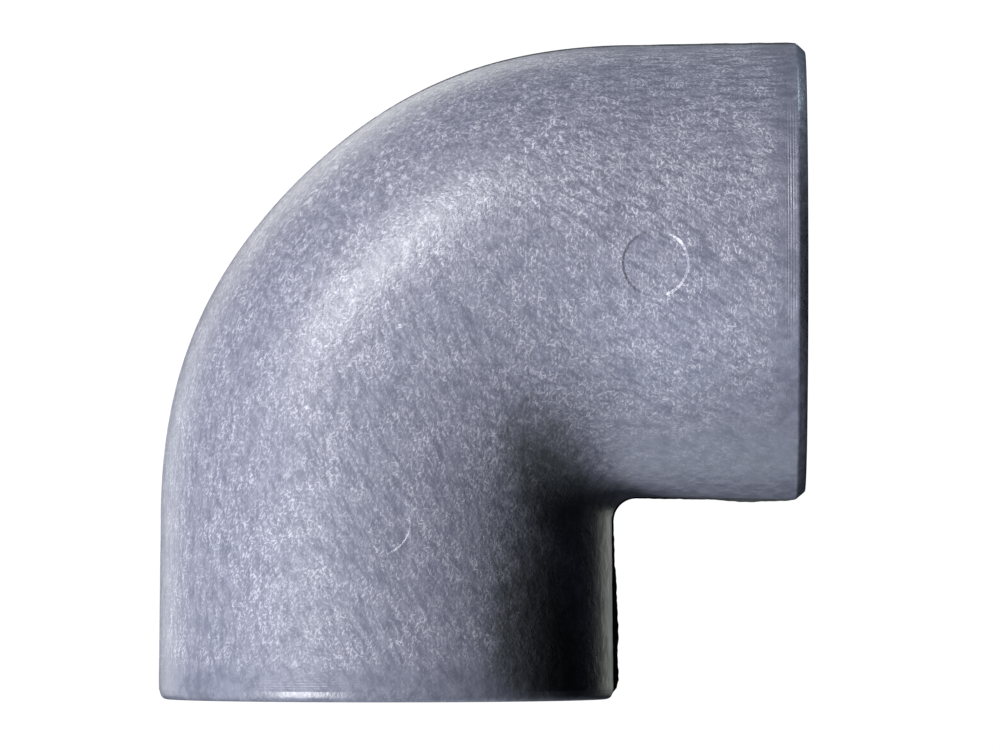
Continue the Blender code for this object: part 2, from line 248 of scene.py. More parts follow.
CAMERA_DISTANCE = 1.2
CAMERA_SENSOR = 36.0        # in millimetres, like the lens
CAMERA_LENS = 720.8
CAMERA_AIM = (0.00681, -0.00619)  # right of and below the elbow's centre

LIGHT_DISTANCE = 0.8
LIGHT_AIM_HEIGHT = 0.02
# Softboxes: (name, azimuth, elevation, half angles across and up, roll, watts, colour).
# Angles are in degrees; azimuth 0 is the camera's side and -90 the left.
SOFTBOXES = (
    ("upper_key", -47.6, 36.6, (17.0, 3.2), 57.0, 6.5, (1.0, 0.985, 0.98)),
    ("lower_key", -45.5, -25.0, (8.0, 8.0), 0.0, 8.8, (0.99, 1.0, 1.0)),
    ("back_left", -158.0, 27.0, (17.0, 14.0), 0.0, 1.2, (1.0, 1.0, 0.97)),
    ("low_back_left", -142.0, 0.0, (10.0, 14.0), 0.0, 0.75, (0.97, 1.0, 0.98)),
    ("back_right", 155.0, 0.0, (9.0, 9.0), 0.0, 0.22, (0.95, 1.0, 0.92)),
    ("top_right", 125.0, 52.0, (8.0, 8.0), 0.0, 2.4, (0.72, 0.88, 1.0)),
    ("below", 180.0, -76.0, (22.0, 20.0), 0.0, 1.35, (0.85, 0.95, 1.0)),
)
WORLD_STRENGTH = 0.003      # light from all round, besides the softboxes
BACKDROP_STRENGTH = 1.05    # the white that the camera sees behind the object
FLOOR_REACH = 1.5
FLOOR_COLOUR = (0.82, 0.82, 0.82, 1)
FLOOR_ROUGHNESS = 0.6
FLOOR_GRAZING = (0.9, 0.97)  # how nearly edge-on the floor turns into the backdrop's white


# ---- The frame ---------------------------------------------------------------------

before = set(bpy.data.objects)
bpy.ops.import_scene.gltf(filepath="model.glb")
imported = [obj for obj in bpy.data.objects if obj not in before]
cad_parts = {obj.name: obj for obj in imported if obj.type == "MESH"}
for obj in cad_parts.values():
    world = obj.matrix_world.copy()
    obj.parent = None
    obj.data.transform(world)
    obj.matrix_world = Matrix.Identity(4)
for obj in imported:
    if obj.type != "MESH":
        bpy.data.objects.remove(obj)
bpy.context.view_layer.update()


def middle(node):
    low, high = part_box(node)
    return (low + high) / 2


def find_ports():
    """Each port's rim and axis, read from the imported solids."""
    low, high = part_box("elbow_body")
    centre = Vector((middle("base_release_collar").x, 0.0, middle("side_release_collar").z))
    to_side = Matrix.Rotation(math.radians(90), 4, "Y")
    to_base = Matrix.Rotation(math.pi, 4, "X")
    side_rim = Vector((high.x, 0.0, centre.z))
    base_rim = Vector((centre.x, 0.0, low.z))
    return centre, {
        "side": {
            "leg": side_rim.x - centre.x,
            "along": Vector((1, 0, 0)),
            "out": Vector((0, 0, 1)),
            "matrix": Matrix.Translation(side_rim) @ to_side,
        },
        "base": {
            "leg": centre.z - base_rim.z,
            "along": Vector((0, 0, -1)),
            "out": Vector((-1, 0, 0)),
            "matrix": Matrix.Translation(base_rim) @ to_base,
        },
    }


centre, ports = find_ports()


# ---- Mesh helpers --------------------------------------------------------------------

def add_piece(name, mesh, matrix=None):
    obj = bpy.data.objects.new(name, mesh)
    bpy.context.scene.collection.objects.link(obj)
    if matrix:
        mesh.transform(matrix)
    return obj


def finish_mesh(name, shape, merge=1e-7):
    bmesh.ops.remove_doubles(shape, verts=shape.verts[:], dist=merge)
    bmesh.ops.recalc_face_normals(shape, faces=shape.faces[:])
    mesh = bpy.data.meshes.new(name)
    shape.to_mesh(mesh)
    shape.free()
    mesh.shade_smooth()
    mesh.set_sharp_from_angle(angle=math.radians(SMOOTH_EDGE_ANGLE))
    return mesh


def baked_copy(obj):
    """Replaces obj's mesh by what its modifiers make of it."""
    graph = bpy.context.evaluated_depsgraph_get()
    mesh = bpy.data.meshes.new_from_object(obj.evaluated_get(graph), depsgraph=graph)
    obj.modifiers.clear()
    obj.data = mesh
    return obj


def smoothstep(value, start, end):
    share = min(max((value - start) / (end - start), 0.0), 1.0)
    return share * share * (3 - 2 * share)


def along_table(table, value):
    """Linear reading of (place, height) pairs, level beyond its ends."""
    if value <= table[0][0]:
        return table[0][1]
    for (place, height), (next_place, next_height) in zip(table, table[1:]):
        if value <= next_place:
            share = (value - place) / (next_place - place)
            return height + (next_height - height) * share
    return table[-1][1]


def softened(profile):
    """The closed profile with each corner rounded by its own fillet."""
    points = []
    for k, (radius, depth, fillet) in enumerate(profile):
        corner = Vector((radius, -depth))
        before = Vector((profile[k - 1][0], -profile[k - 1][1])) - corner
        following = profile[(k + 1) % len(profile)]
        after = Vector((following[0], -following[1])) - corner
        reach = min(fillet, before.length / 2.2, after.length / 2.2)
        start = corner + before.normalized() * reach
        end = corner + after.normalized() * reach
        for step in range(FILLET_STEPS + 1):
            share = step / FILLET_STEPS
            points.append(
                start * (1 - share) ** 2 + corner * 2 * share * (1 - share) + end * share**2
            )
    return points


def turned_mesh(name, points, segments=TURNED_SEGMENTS):
    """A ring: the closed (radius, height) outline turned about Z."""
    shape = bmesh.new()
    turns = [math.tau * k / segments for k in range(segments)]
    rings = [
        [shape.verts.new((x * math.cos(turn), x * math.sin(turn), y)) for x, y in points]
        for turn in turns
    ]
    count = len(points)
    for k, ring in enumerate(rings):
        following = rings[(k + 1) % segments]
        for i in range(count):
            after = (i + 1) % count
            shape.faces.new((ring[i], ring[after], following[after], following[i]))
    return finish_mesh(name, shape)


# ---- Moulded body --------------------------------------------------------------------

def ring_angles():
    """Angles round a section, 0 on the outside of the bend, closer together at the seam."""
    even = [360 * k / RING_SEGMENTS for k in range(RING_SEGMENTS)]
    near_seam = [
        place + sign * offset
        for place in (0, 180)
        for offset in SEAM_OFFSETS
        for sign in (1, -1)
    ]
    return [math.radians(angle) for angle in sorted({round(a % 360, 4) for a in even + near_seam})]


ANGLES = ring_angles()


def seam_share(angle, place, foot):
    """1 on the seam's crest at place, falling to 0 at its foot. Angles are in degrees."""
    away = abs((math.degrees(angle) - place + 180) % 360 - 180)
    return 1 - min(max((away - SEAM_CREST) / (foot - SEAM_CREST), 0.0), 1.0)


OUTER_SEAM = [seam_share(angle, 0, OUTER_SEAM_FOOT) for angle in ANGLES]
INNER_SEAM = [seam_share(angle, 180, INNER_SEAM_FOOT) for angle in ANGLES]


def torn(place, amount=0.3):
    """Uneven factor around 1, as flash breaks off along the seam."""
    broad = noise.noise(Vector((place / SEAM_TEAR_STEP, 3.7, 1.3)))
    fine = noise.noise(Vector((place / SEAM_TEAR_STEP * 3.1, 8.2, 5.6)))
    return 1 + amount * (broad + 0.7 * fine)


def section(middle_point, out, half_width, half_thickness, outer_seam=0.0, inner_seam=0.0):
    """One ring of points across the body: an ellipse with the seam's two crests."""
    return [
        middle_point
        + out
        * (
            half_width * math.cos(angle)
            + outer_seam * OUTER_SEAM[k]
            - inner_seam * INNER_SEAM[k]
        )
        + Vector((0, half_thickness * math.sin(angle), 0))
        for k, angle in enumerate(ANGLES)
    ]


def grooved(ring, middle_point, depth, distance):
    """The ring with its points moved towards the axis by a tool line's depth."""
    if depth == 0:
        return ring
    return [
        point - (point - middle_point).normalized() * depth * tool_line_share(angle, distance)
        for point, angle in zip(ring, ANGLES)
    ]


def tool_line_depth(distance, leg, deepest):
    """Turning marks: a few shallow round grooves next to the rim."""
    inside = leg - RIM_ROUND - TOOL_LINE_MARGIN - distance
    width = TOOL_LINES * TOOL_LINE_PITCH
    if not 0 < inside < width:
        return 0.0
    fade = smoothstep(inside, 0, TOOL_LINE_PITCH) * (1 - smoothstep(inside, width * 0.6, width))
    return deepest * fade * (0.5 - 0.5 * math.cos(math.tau * inside / TOOL_LINE_PITCH))


def tool_line_share(angle, distance):
    """How well a groove shows at this angle: the marks come and go round the leg."""
    facing = math.cos(angle - math.radians(TOOL_LINES_CLEAREST))
    wander = noise.noise(Vector((7 * math.cos(angle), 7 * math.sin(angle), distance * 1500)))
    return smoothstep(facing + 0.3 * wander, 0.78, 1.02) + TOOL_LINE_TRACE


def leg_stations(leg):
    """Distances along a leg's skin, dense where the tool lines are."""
    lines_start = leg - RIM_ROUND - TOOL_LINE_MARGIN - TOOL_LINES * TOOL_LINE_PITCH
    end = leg - RIM_ROUND
    plain = [BEND_END + (lines_start - BEND_END) * k / LEG_STEPS for k in range(LEG_STEPS)]
    step = (end - lines_start) / TOOL_LINE_STEPS
    return plain + [lines_start + step * k for k in range(TOOL_LINE_STEPS)]


def leg_skin(name):
    """Rings of one leg's skin, from the bend to the rim's inner edge."""
    port = ports[name]
    leg, along, out = port["leg"], port["along"], port["out"]
    rings = []
    for distance in leg_stations(leg):
        radius = LEG_R + (MOUTH_R - LEG_R) * (distance - BEND_END) / (leg - RIM_ROUND - BEND_END)
        inner = along_table(INNER_SEAMS[name], distance) * torn(distance)
        outer = along_table(OUTER_SEAMS[name], distance) * torn(distance + 0.1, 0.15)
        middle_point = centre + along * distance
        ring = section(middle_point, out, radius, radius, outer, inner)
        depth = tool_line_depth(distance, leg, TOOL_LINE_DEPTHS[name])
        rings.append(grooved(ring, middle_point, depth, distance))
    for before_rim, drop in RIM_EDGES[name]:
        radius = MOUTH_R - drop
        distance = leg - before_rim
        fade = before_rim / RIM_ROUND
        inner = along_table(INNER_SEAMS[name], distance) * fade
        outer = along_table(OUTER_SEAMS[name], distance) * fade
        rings.append(section(centre + along * distance, out, radius, radius, outer, inner))
    return rings


def bend_skin():
    """Rings turning about the inner corner, from the base leg round to the side leg."""
    pivot = centre + Vector((BEND_END, 0, -BEND_END))
    base_inner, side_inner = INNER_SEAMS["base"][0][1], INNER_SEAMS["side"][0][1]
    base_outer, side_outer = OUTER_SEAMS["base"][0][1], OUTER_SEAMS["side"][0][1]
    rings = []
    for k in range(1, BEND_STEPS):
        share = k / BEND_STEPS
        turn = math.radians(90) * share
        outer = (
            CROTCH_R
            + 2 * LEG_R
            + CROWN_FULLNESS * math.sin(2 * turn) ** 2
            + SHOULDER_FULLNESS * math.sin(4 * turn) ** 2
        )
        outward = Vector((-math.cos(turn), 0, math.sin(turn)))
        inner_seam = base_inner + (side_inner - base_inner) * share
        outer_seam = base_outer + (side_outer - base_outer) * share
        rings.append(
            section(
                pivot + outward * (CROTCH_R + outer) / 2,
                outward,
                (outer - CROTCH_R) / 2,
                LEG_R,
                outer_seam,
                inner_seam,
            )
        )
    return rings


def bore_rings(port):
    """Rings of the stepped bore, from the rim's inner edge down to where the waterways meet."""
    leg, along, out = port["leg"], port["along"], port["out"]
    steps = [(BORE_STEPS[0][0] + MOUTH_CHAMFER, 0.0), (BORE_STEPS[0][0], MOUTH_CHAMFER)]
    rings = [
        section(centre + along * (leg - depth), out, radius, radius)
        for radius, depth in steps + list(BORE_STEPS)
    ]
    last = [
        centre
        + along * max(0.0, -WATERWAY_R * math.cos(angle))
        + out * WATERWAY_R * math.cos(angle)
        + Vector((0, WATERWAY_R * math.sin(angle), 0))
        for angle in ANGLES
    ]
    return rings + [last]


def add_rings(shape, rings, closed=True):
    """Faces between consecutive rings of points. Open rings leave their ends unjoined."""
    rows = [[shape.verts.new(point) for point in ring] for ring in rings]
    for lower, upper in zip(rows, rows[1:]):
        for k in range(len(lower) if closed else len(lower) - 1):
            after = (k + 1) % len(lower)
            shape.faces.new((lower[k], lower[after], upper[after], upper[k]))


def chamber_rows():
    """The rounded outer corner where the two waterways meet."""
    outer_half = sorted(
        (angle + math.pi) % math.tau - math.pi for angle in ANGLES if math.cos(angle) > -1e-9
    )
    return [
        [
            centre
            + Vector(
                (
                    -math.sin(turn) * WATERWAY_R * math.cos(angle),
                    WATERWAY_R * math.sin(angle),
                    math.cos(turn) * WATERWAY_R * math.cos(angle),
                )
            )
            for angle in outer_half
        ]
        for turn in (math.radians(90) * k / CHAMBER_STEPS for k in range(CHAMBER_STEPS + 1))
    ]


def ejector_cutter(name, port):
    """A disc with a sloping wall that cuts a shallow mark into the round front of a leg."""
    x, z = EJECTOR_MARKS[name]
    mark = centre + Vector((x, 0, z))
    lean = EJECTOR_LEANS[name]
    deepest = math.radians(EJECTOR_LEAN_TURN)

    def skin_point(reach, turn, side_of_skin):
        tilt = lean * math.cos(turn - deepest) * reach / EJECTOR_R
        below = side_of_skin * EJECTOR_DEPTHS[name] * (1 + tilt)
        place = mark + Vector((reach * math.cos(turn), 0, reach * math.sin(turn)))
        off_axis = (place - centre).dot(port["out"])
        distance = (place - centre).dot(port["along"])
        draft = (MOUTH_R - LEG_R) * (distance - BEND_END) / (port["leg"] - RIM_ROUND - BEND_END)
        place.y = -math.sqrt((LEG_R + max(draft, 0.0) - below) ** 2 - off_axis**2)
        return place

    turns = [math.tau * k / EJECTOR_SEGMENTS for k in range(EJECTOR_SEGMENTS)]
    wall = EJECTOR_WALLS[name]
    floor_r = EJECTOR_R - wall
    rows = [
        [skin_point(floor_r * (k + 1) / EJECTOR_CIRCLES, turn, 1) for turn in turns]
        for k in range(EJECTOR_CIRCLES)
    ]
    rows.append([skin_point(EJECTOR_R + wall, turn, -1) for turn in turns])
    rows.append([Vector((point.x, -EJECTOR_CUTTER_FRONT, point.z)) for point in rows[-1]])
    shape = bmesh.new()
    add_rings(shape, rows)
    bmesh.ops.remove_doubles(shape, verts=shape.verts[:], dist=1e-8)
    bmesh.ops.holes_fill(shape, edges=[edge for edge in shape.edges if edge.is_boundary])
    return add_piece("ejector_cutter_" + name, finish_mesh("ejector_cutter_" + name, shape))


def make_body():
    base, side = ports["base"], ports["side"]
    rings = bore_rings(base)[::-1]
    rings += leg_skin("base")[::-1]
    rings += bend_skin()
    rings += leg_skin("side")
    rings += bore_rings(side)
    shape = bmesh.new()
    add_rings(shape, rings)
    add_rings(shape, chamber_rows(), closed=False)
    body = add_piece("moulded_elbow", finish_mesh("moulded_elbow", shape, merge=2e-7))
    cutters = [ejector_cutter(name, ports[name]) for name in EJECTOR_MARKS]
    for cutter in cutters:
        modifier = body.modifiers.new(cutter.name, "BOOLEAN")
        modifier.operation = "DIFFERENCE"
        modifier.object = cutter
    baked_copy(body)
    body.data.set_sharp_from_angle(angle=math.radians(BODY_EDGE_ANGLE))
    for cutter in cutters:
        bpy.data.objects.remove(cutter, do_unlink=True)
    return body


# ---- Cartridge pieces ------------------------------------------------------------------

def o_ring_outline(depth):
    turns = [math.tau * k / SEAL_SIDES for k in range(SEAL_SIDES)]
    return [
        Vector(
            (
                SEAL_MIDDLE_R + SEAL_SECTION_R * math.cos(turn),
                -depth + SEAL_SECTION_R * math.sin(turn),
            )
        )
        for turn in turns
    ]


def tooth_half_width(share):
    """Half a tooth's width, as a share of the pitch, from its root (0) to its tip (1)."""
    if share >= TOOTH_SLOT_END:
        below_slot = (share - TOOTH_SLOT_END) / (1 - TOOTH_SLOT_END)
        return TOOTH_WAIST + (TOOTH_TIP - TOOTH_WAIST) * below_slot
    reach = 1 - share / TOOTH_SLOT_END
    return 0.5 - (0.5 - TOOTH_WAIST) * math.sqrt(max(1 - reach * reach, 0.0))


def grab_sheet(name):
    """The grab ring's middle surface: an annulus whose teeth lean in and down the bore."""
    shape = bmesh.new()
    pitch = math.tau / TOOTH_COUNT
    columns, tooth_rows, rim_rows = 10, 14, 4

    def place(angle, radius, depth):
        return (radius * math.cos(angle), radius * math.sin(angle), -depth)

    def strip_row(tooth, half_width, radius, depth):
        return [
            place(pitch * (tooth + half_width * (2 * c / columns - 1)), radius, depth)
            for c in range(columns + 1)
        ]

    for tooth in range(TOOTH_COUNT):
        strip = []
        for k in range(rim_rows):
            radius = GRAB_OUTER_R + (GRAB_ROOT_R - GRAB_OUTER_R) * k / rim_rows
            strip.append(strip_row(tooth, 0.5, radius, GRAB_DEPTH))
        for k in range(tooth_rows + 1):
            share = k / tooth_rows
            radius = GRAB_ROOT_R + (TOOTH_TIP_R - GRAB_ROOT_R) * share
            bowed = share - TOOTH_BOW * math.sin(math.pi * share)
            depth = GRAB_DEPTH + (TOOTH_TIP_DEPTH - GRAB_DEPTH) * bowed
            strip.append(strip_row(tooth, tooth_half_width(share), radius, depth))
        add_rings(shape, strip, closed=False)
    return finish_mesh(name, shape, merge=2e-7)


def grab_ring(name, matrix):
    """Stamped spring steel, with its cut edges slightly rounded."""
    ring = add_piece(name, grab_sheet(name), matrix)
    thickness = ring.modifiers.new("sheet", "SOLIDIFY")
    thickness.thickness = STEEL_THICKNESS
    thickness.offset = 0.0
    thickness.use_even_offset = True
    edge = ring.modifiers.new("edge", "BEVEL")
    edge.width = STEEL_EDGE
    edge.segments = 2
    edge.angle_limit = math.radians(50)
    baked_copy(ring)
    ring.data.shade_smooth()
    ring.data.set_sharp_from_angle(angle=math.radians(SMOOTH_EDGE_ANGLE))
    return ring


def circlip_outline():
    """Outer edge one way round, then the inner edge back, which is slimmer away from the eyes."""
    opening = math.radians(CIRCLIP_OPENING)
    turns = [
        opening + (math.tau - 2 * opening) * k / CIRCLIP_STEPS for k in range(CIRCLIP_STEPS + 1)
    ]
    outline = [(CIRCLIP_OUTER_R, turn) for turn in turns]
    for turn in reversed(turns):
        away = min(turn, math.tau - turn)
        slim = smoothstep(away, opening + 0.16, opening + 0.34) * (1 - 0.45 * (away / math.pi))
        outline.append((CIRCLIP_INNER_R + CIRCLIP_SLIMMING * slim, turn))
    return [(radius * math.cos(turn), radius * math.sin(turn)) for radius, turn in outline]


def circlip_eye(side):
    """Round hole for the pliers, on one side (1 or -1) of the opening."""
    middle_r = (CIRCLIP_INNER_R + CIRCLIP_OUTER_R) / 2
    turn = math.radians(CIRCLIP_EYE_TURN)
    x, y = middle_r * math.cos(turn), side * middle_r * math.sin(turn)
    points = [math.tau * k / CIRCLIP_EYE_STEPS for k in range(CIRCLIP_EYE_STEPS)]
    return [(x + CIRCLIP_EYE_R * math.cos(t), y - CIRCLIP_EYE_R * math.sin(t)) for t in points]


def plate_mesh(name, loops, thickness, edge):
    """A flat plate filled between closed loops, with rounded edges."""
    curve = bpy.data.curves.new(name, "CURVE")
    curve.dimensions = "2D"
    curve.fill_mode = "BOTH"
    curve.bevel_depth = edge
    curve.bevel_resolution = 2
    curve.offset = -edge
    curve.extrude = thickness / 2 - edge
    for loop in loops:
        spline = curve.splines.new("POLY")
        spline.points.add(len(loop) - 1)
        for point, (x, y) in zip(spline.points, loop):
            point.co = (x, y, 0.0, 1.0)
        spline.use_cyclic_u = True
    holder = bpy.data.objects.new(name + "_curve", curve)
    bpy.context.scene.collection.objects.link(holder)
    graph = bpy.context.evaluated_depsgraph_get()
    mesh = bpy.data.meshes.new_from_object(holder.evaluated_get(graph), depsgraph=graph)
    bpy.data.objects.remove(holder, do_unlink=True)
    return mesh


def circlip(name, matrix):
    """Internal circlip: a flat ring, open at one side, with an eye for the pliers at each end."""
    upper, lower = CIRCLIP_DEPTHS
    loops = [circlip_outline(), circlip_eye(1), circlip_eye(-1)]
    mesh = plate_mesh(name, loops, lower - upper, CIRCLIP_EDGE)
    shape = bmesh.new()
    shape.from_mesh(mesh)
    bpy.data.meshes.remove(mesh)
    bmesh.ops.translate(shape, verts=shape.verts[:], vec=(0, 0, -(upper + lower) / 2))
    return add_piece(name, finish_mesh(name, shape, merge=1e-6), matrix)


# ---- Materials -------------------------------------------------------------------------

class Nodes:
    """Short ways to add and link shader nodes."""

    def __init__(self, tree):
        self.tree = tree

    def add(self, kind, inputs=None, **settings):
        node = self.tree.nodes.new(kind)
        for name, value in settings.items():
            setattr(node, name, value)
        for name, value in (inputs or {}).items():
            self.put(node.inputs[name], value)
        return node

    def put(self, socket, value):
        if isinstance(value, bpy.types.NodeSocket):
            self.tree.links.new(value, socket)
        else:
            socket.default_value = value

    def math(self, operation, first, second=0.0):
        node = self.add("ShaderNodeMath", operation=operation)
        self.put(node.inputs[0], first)
        self.put(node.inputs[1], second)
        return node.outputs[0]

    def product(self, first, *others):
        for other in others:
            first = self.math("MULTIPLY", first, other)
        return first

    def vector(self, operation, first, second=None):
        node = self.add("ShaderNodeVectorMath", operation=operation)
        self.put(node.inputs[0], first)
        if second is not None:
            self.put(node.inputs[1], second)
        return node.outputs["Value" if operation in ("DOT_PRODUCT", "LENGTH") else "Vector"]

    def parts(self, vector):
        return self.add("ShaderNodeSeparateXYZ", {"Vector": vector}).outputs

    def joined(self, **parts):
        return self.add("ShaderNodeCombineXYZ", parts).outputs["Vector"]

    def turned(self, vector, axis, angle):
        node = self.add("ShaderNodeVectorRotate", {"Vector": vector, "Axis": axis, "Angle": angle})
        return node.outputs["Vector"]

    def ramp(self, value, low, high, start=0.0, end=1.0, smooth=True):
        node = self.add(
            "ShaderNodeMapRange",
            {"Value": value, "From Min": low, "From Max": high, "To Min": start, "To Max": end},
            interpolation_type="SMOOTHSTEP" if smooth else "LINEAR",
        )
        return node.outputs["Result"]

    def mix(self, share, first, second, blend="MIX"):
        node = self.add("ShaderNodeMix", data_type="RGBA", blend_type=blend)
        self.put(node.inputs["Factor"], share)
        self.put(node.inputs[6], first)
        self.put(node.inputs[7], second)
        return node.outputs[2]

    def noise(self, coordinates, scale, detail=2.0, roughness=0.5):
        node = self.add(
            "ShaderNodeTexNoise",
            {"Vector": coordinates, "Scale": scale, "Detail": detail, "Roughness": roughness},
        )
        return node.outputs["Fac"]

    def bump(self, height, distance):
        node = self.add("ShaderNodeBump", {"Height": height, "Distance": distance})
        return node.outputs["Normal"]


def new_material(name, **constants):
    material = bpy.data.materials.new(name)
    material.use_nodes = True
    nodes = Nodes(material.node_tree)
    shader = material.node_tree.nodes["Principled BSDF"]
    for key, value in constants.items():
        shader.inputs[key.replace("_", " ")].default_value = value
    return material, nodes, shader


def finish_shader(nodes, shader, colour, rough, bump):
    nodes.put(shader.inputs["Base Color"], colour)
    nodes.put(shader.inputs["Roughness"], rough)
    nodes.put(shader.inputs["Normal"], bump)


def stroke(nodes, given, here, pointing, brightness):
    """One short straight stroke through here's origin, lying in the surface along the flow."""
    turned = nodes.vector("CROSS_PRODUCT", given["Normal"], pointing)
    tangent = nodes.vector("NORMALIZE", nodes.vector("ADD", turned, given["Flow"]))
    sideways = nodes.vector("CROSS_PRODUCT", given["Normal"], tangent)
    along = nodes.math("ABSOLUTE", nodes.vector("DOT_PRODUCT", here, tangent))
    across = nodes.math("ABSOLUTE", nodes.vector("DOT_PRODUCT", here, sideways))
    length_fade = nodes.product(given["Half Length"], 0.6)
    width_fade = nodes.product(given["Half Width"], 0.25)
    near = nodes.ramp(along, length_fade, given["Half Length"], 1.0, 0.0)
    thin = nodes.ramp(across, width_fade, given["Half Width"], 1.0, 0.0)
    return nodes.product(near, thin, nodes.math("POWER", brightness, 1.8))


def fibre_group():
    """One layer of short straight strokes lying in the surface, two to each cell."""
    group = bpy.data.node_groups.new("fibre_layer", "ShaderNodeTree")
    for name in ("Position", "Normal", "Flow", "Seed"):
        group.interface.new_socket(name, in_out="INPUT", socket_type="NodeSocketVector")
    for name in ("Scale", "Half Length", "Half Width"):
        group.interface.new_socket(name, in_out="INPUT", socket_type="NodeSocketFloat")
    group.interface.new_socket("Strokes", in_out="OUTPUT", socket_type="NodeSocketFloat")
    nodes = Nodes(group)
    given = nodes.add("NodeGroupInput").outputs
    place = nodes.vector("ADD", given["Position"], given["Seed"])
    cells = nodes.add(
        "ShaderNodeTexVoronoi", {"Vector": place, "Scale": given["Scale"]}, voronoi_dimensions="3D"
    ).outputs
    here = nodes.vector("SUBTRACT", place, cells["Position"])
    middle_grey = (0.5, 0.5, 0.5)
    luck = nodes.add("ShaderNodeSeparateColor", {"Color": cells["Color"]}).outputs
    pointing = nodes.vector("SUBTRACT", nodes.joined(X=luck[0], Y=luck[1], Z=luck[2]), middle_grey)
    first = stroke(nodes, given, here, pointing, luck[2])
    shift = nodes.add("ShaderNodeVectorMath", operation="SCALE")
    nodes.put(shift.inputs[0], nodes.vector("SUBTRACT", cells["Color"], middle_grey))
    nodes.put(shift.inputs["Scale"], nodes.product(nodes.math("DIVIDE", 1.0, given["Scale"]), 0.7))
    here = nodes.vector("ADD", here, shift.outputs["Vector"])
    pointing = nodes.vector("SUBTRACT", nodes.joined(X=luck[2], Y=luck[0], Z=luck[1]), middle_grey)
    second = stroke(nodes, given, here, pointing, luck[1])
    leaving = nodes.add("NodeGroupOutput")
    nodes.put(leaving.inputs["Strokes"], nodes.math("MAXIMUM", first, second))
    return group


def fibres(nodes, place, normal, flow):
    """The strongest of the fibre layers at each place."""
    group = fibre_group()
    total = 0.0
    for scale, half_length, half_width, seed in FIBRE_LAYERS:
        layer = nodes.add("ShaderNodeGroup", node_tree=group)
        for name, value in (
            ("Position", place),
            ("Normal", normal),
            ("Flow", flow),
            ("Seed", seed),
            ("Scale", scale),
            ("Half Length", half_length),
            ("Half Width", half_width),
        ):
            nodes.put(layer.inputs[name], value)
        total = nodes.math("MAXIMUM", total, layer.outputs["Strokes"])
    return total


def melt_turn(nodes, place):
    """How far below level the plastic flowed: steep in the base leg, flatter in the side leg."""
    parts = nodes.parts(nodes.vector("SUBTRACT", place, tuple(centre)))
    rise = nodes.math("MAXIMUM", parts["Z"], 0.0)
    turn = nodes.math("SUBTRACT", FLOW_TURN, nodes.product(parts["X"], FLOW_TURN_RIGHT))
    return nodes.math("SUBTRACT", turn, nodes.product(rise, FLOW_TURN_UP))


def melt_flow(nodes, turn):
    across = nodes.product(nodes.math("COSINE", turn), FIBRE_ALIGNMENT)
    down = nodes.product(nodes.math("SINE", turn), -FIBRE_ALIGNMENT)
    return nodes.joined(X=across, Z=down)


def streaks(nodes, place, turn):
    """Uneven bands along the flow, blended from noises stretched in a few directions."""
    total = 0.0
    for direction in STREAK_TURNS:
        level = nodes.turned(place, (0, 1, 0), -direction)
        stretched = nodes.vector("MULTIPLY", level, (STREAK_STRETCH, 1, 1))
        away = nodes.math("ABSOLUTE", nodes.math("SUBTRACT", turn, direction))
        share = nodes.ramp(away, 0.0, STREAK_STEP, 1.0, 0.0, smooth=False)
        part = nodes.product(nodes.noise(stretched, STREAK_SCALE, 2.0, 0.6), share)
        total = nodes.math("ADD", total, part)
    return nodes.ramp(total, 0.36, 0.62, 0.35, 1.25)


def clear_skin(nodes, place):
    """How much the fibres show: less near the rims and low on the side leg."""
    parts = nodes.parts(place)
    side_rim = ports["side"]["leg"] + centre.x
    near, far = RIM_CLEARNESS
    by_side_rim = nodes.ramp(parts["X"], side_rim - far, side_rim - near, 1.0, SHOWN_AT_RIMS)
    by_base_rim = nodes.ramp(parts["Z"], near, far, SHOWN_AT_RIMS, 1.0)
    wander = nodes.product(nodes.noise(place, 260.0, 2.0), 0.006)
    height = nodes.math("ADD", parts["Z"], wander)
    height = nodes.math("SUBTRACT", height, nodes.product(parts["X"], 0.3))
    low = nodes.ramp(height, centre.z - 0.0150, centre.z - 0.0020, 0.2, 1.0)
    past_corner = nodes.ramp(parts["X"], centre.x + 0.0085, centre.x + 0.0150)
    low_on_side = nodes.mix(past_corner, (1, 1, 1, 1), low)
    return nodes.product(by_side_rim, by_base_rim, low_on_side)


def boldness(nodes, place):
    """How strongly the texture stands out: more on the side leg, and most high up on it."""
    parts = nodes.parts(place)
    on_side = nodes.ramp(parts["X"], centre.x + 0.004, centre.x + 0.013)
    high_up = nodes.ramp(parts["Z"], centre.z - 0.002, centre.z + 0.006, 0.10, 0.62)
    return nodes.math("ADD", nodes.product(on_side, high_up), 1.0)


def oval(nodes, place, middle_xz, reach, lean, core):
    """1 in an oval's core on the front, falling to 0 at its uneven edge; its long way leans."""
    from_middle = nodes.vector(
        "SUBTRACT", place, (centre.x + middle_xz[0], 0, centre.z + middle_xz[1])
    )
    level = nodes.turned(from_middle, (0, 1, 0), -math.radians(lean))
    scaled = nodes.vector("MULTIPLY", level, (1 / reach[0], 0.0, 1 / reach[1]))
    edge = nodes.math("SUBTRACT", nodes.noise(place, 900.0, 3.0, 0.6), 0.5)
    away = nodes.math("ADD", nodes.vector("LENGTH", scaled), edge)
    return nodes.ramp(away, core, 1.0, 1.0, 0.0)


